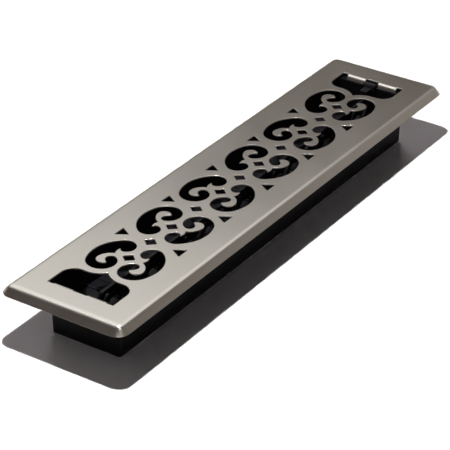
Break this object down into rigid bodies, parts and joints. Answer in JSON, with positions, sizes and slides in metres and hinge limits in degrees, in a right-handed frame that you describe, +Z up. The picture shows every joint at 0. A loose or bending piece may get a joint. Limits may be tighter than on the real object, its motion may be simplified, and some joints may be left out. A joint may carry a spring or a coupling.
{
  "type": "floor register",
  "caption": "Drop-in floor register: bevelled scroll-pattern metal faceplate over a plastic damper box with linked louvers and a thumb lever.",
  "frame": {"origin": "middle of the box's bottom, on the surface it stands on", "axes": "+X along the length towards the thumb lever, +Y across, +Z up out of the floor through the faceplate"},
  "size_m": [0.3484, 0.083, 0.0346],
  "materials": {
    "nickel": "satin nickel plate, very finely brushed",
    "box_plastic": "black moulded plastic, slight sheen",
    "louver_plastic": "black moulded plastic, smooth",
    "linkage_plastic": "black moulded plastic, smooth"
  },
  "bodies": {
    "frame": {"faceplate": "nickel", "damper_box": "box_plastic"},
    "linkage": {"tie_bar": "linkage_plastic", "lever": "linkage_plastic"},
    "louver_01": {"louver_01": "louver_plastic"},
    "louver_02": {"louver_02": "louver_plastic"},
    "louver_03": {"louver_03": "louver_plastic"},
    "louver_04": {"louver_04": "louver_plastic"},
    "louver_05": {"louver_05": "louver_plastic"},
    "louver_06": {"louver_06": "louver_plastic"},
    "louver_07": {"louver_07": "louver_plastic"},
    "louver_08": {"louver_08": "louver_plastic"},
    "louver_09": {"louver_09": "louver_plastic"},
    "louver_10": {"louver_10": "louver_plastic"},
    "louver_11": {"louver_11": "louver_plastic"},
    "louver_12": {"louver_12": "louver_plastic"},
    "louver_13": {"louver_13": "louver_plastic"},
    "louver_14": {"louver_14": "louver_plastic"},
    "louver_15": {"louver_15": "louver_plastic"},
    "louver_16": {"louver_16": "louver_plastic"}
  },
  "joints": [
    {"name": "louver_01_pivot", "type": "hinge", "parent": "frame", "child": "louver_01", "pos_m": [-0.1395, 0, 0.014], "axis": [0, -1, 0], "range_deg": [0, 80]},
    {"name": "louver_02_pivot", "type": "hinge", "parent": "frame", "child": "louver_02", "pos_m": [-0.1209, 0, 0.014], "axis": [0, -1, 0], "range_deg": [0, 80]},
    {"name": "louver_03_pivot", "type": "hinge", "parent": "frame", "child": "louver_03", "pos_m": [-0.1023, 0, 0.014], "axis": [0, -1, 0], "range_deg": [0, 80]},
    {"name": "louver_04_pivot", "type": "hinge", "parent": "frame", "child": "louver_04", "pos_m": [-0.0837, 0, 0.014], "axis": [0, -1, 0], "range_deg": [0, 80]},
    {"name": "louver_05_pivot", "type": "hinge", "parent": "frame", "child": "louver_05", "pos_m": [-0.0651, 0, 0.014], "axis": [0, -1, 0], "range_deg": [0, 80]},
    {"name": "louver_06_pivot", "type": "hinge", "parent": "frame", "child": "louver_06", "pos_m": [-0.0465, 0, 0.014], "axis": [0, -1, 0], "range_deg": [0, 80]},
    {"name": "louver_07_pivot", "type": "hinge", "parent": "frame", "child": "louver_07", "pos_m": [-0.0279, 0, 0.014], "axis": [0, -1, 0], "range_deg": [0, 80]},
    {"name": "louver_08_pivot", "type": "hinge", "parent": "frame", "child": "louver_08", "pos_m": [-0.0093, 0, 0.014], "axis": [0, -1, 0], "range_deg": [0, 80]},
    {"name": "louver_09_pivot", "type": "hinge", "parent": "frame", "child": "louver_09", "pos_m": [0.0093, 0, 0.014], "axis": [0, -1, 0], "range_deg": [0, 80]},
    {"name": "louver_10_pivot", "type": "hinge", "parent": "frame", "child": "louver_10", "pos_m": [0.0279, 0, 0.014], "axis": [0, -1, 0], "range_deg": [0, 80]},
    {"name": "louver_11_pivot", "type": "hinge", "parent": "frame", "child": "louver_11", "pos_m": [0.0465, 0, 0.014], "axis": [0, -1, 0], "range_deg": [0, 80]},
    {"name": "louver_12_pivot", "type": "hinge", "parent": "frame", "child": "louver_12", "pos_m": [0.0651, 0, 0.014], "axis": [0, -1, 0], "range_deg": [0, 80]},
    {"name": "louver_13_pivot", "type": "hinge", "parent": "frame", "child": "louver_13", "pos_m": [0.0837, 0, 0.014], "axis": [0, -1, 0], "range_deg": [0, 80]},
    {"name": "louver_14_pivot", "type": "hinge", "parent": "frame", "child": "louver_14", "pos_m": [0.1023, 0, 0.014], "axis": [0, -1, 0], "range_deg": [0, 80]},
    {"name": "louver_15_pivot", "type": "hinge", "parent": "frame", "child": "louver_15", "pos_m": [0.1209, 0, 0.014], "axis": [0, -1, 0], "range_deg": [0, 80]},
    {"name": "louver_16_pivot", "type": "hinge", "parent": "frame", "child": "louver_16", "pos_m": [0.1395, 0, 0.014], "axis": [0, -1, 0], "range_deg": [0, 80]},
    {"name": "tie_bar_pin", "type": "hinge", "parent": "louver_16", "child": "linkage", "pos_m": [0.14593, 0, 0.02166], "axis": [0, -1, 0], "range_deg": [-80, 0]}
  ],
  "couplings": [
    {"joint": "louver_01_pivot", "follows": "louver_16_pivot", "ratio": 1},
    {"joint": "louver_02_pivot", "follows": "louver_16_pivot", "ratio": 1},
    {"joint": "louver_03_pivot", "follows": "louver_16_pivot", "ratio": 1},
    {"joint": "louver_04_pivot", "follows": "louver_16_pivot", "ratio": 1},
    {"joint": "louver_05_pivot", "follows": "louver_16_pivot", "ratio": 1},
    {"joint": "louver_06_pivot", "follows": "louver_16_pivot", "ratio": 1},
    {"joint": "louver_07_pivot", "follows": "louver_16_pivot", "ratio": 1},
    {"joint": "louver_08_pivot", "follows": "louver_16_pivot", "ratio": 1},
    {"joint": "louver_09_pivot", "follows": "louver_16_pivot", "ratio": 1},
    {"joint": "louver_10_pivot", "follows": "louver_16_pivot", "ratio": 1},
    {"joint": "louver_11_pivot", "follows": "louver_16_pivot", "ratio": 1},
    {"joint": "louver_12_pivot", "follows": "louver_16_pivot", "ratio": 1},
    {"joint": "louver_13_pivot", "follows": "louver_16_pivot", "ratio": 1},
    {"joint": "louver_14_pivot", "follows": "louver_16_pivot", "ratio": 1},
    {"joint": "louver_15_pivot", "follows": "louver_16_pivot", "ratio": 1},
    {"joint": "tie_bar_pin", "follows": "louver_16_pivot", "ratio": -1}
  ]
}
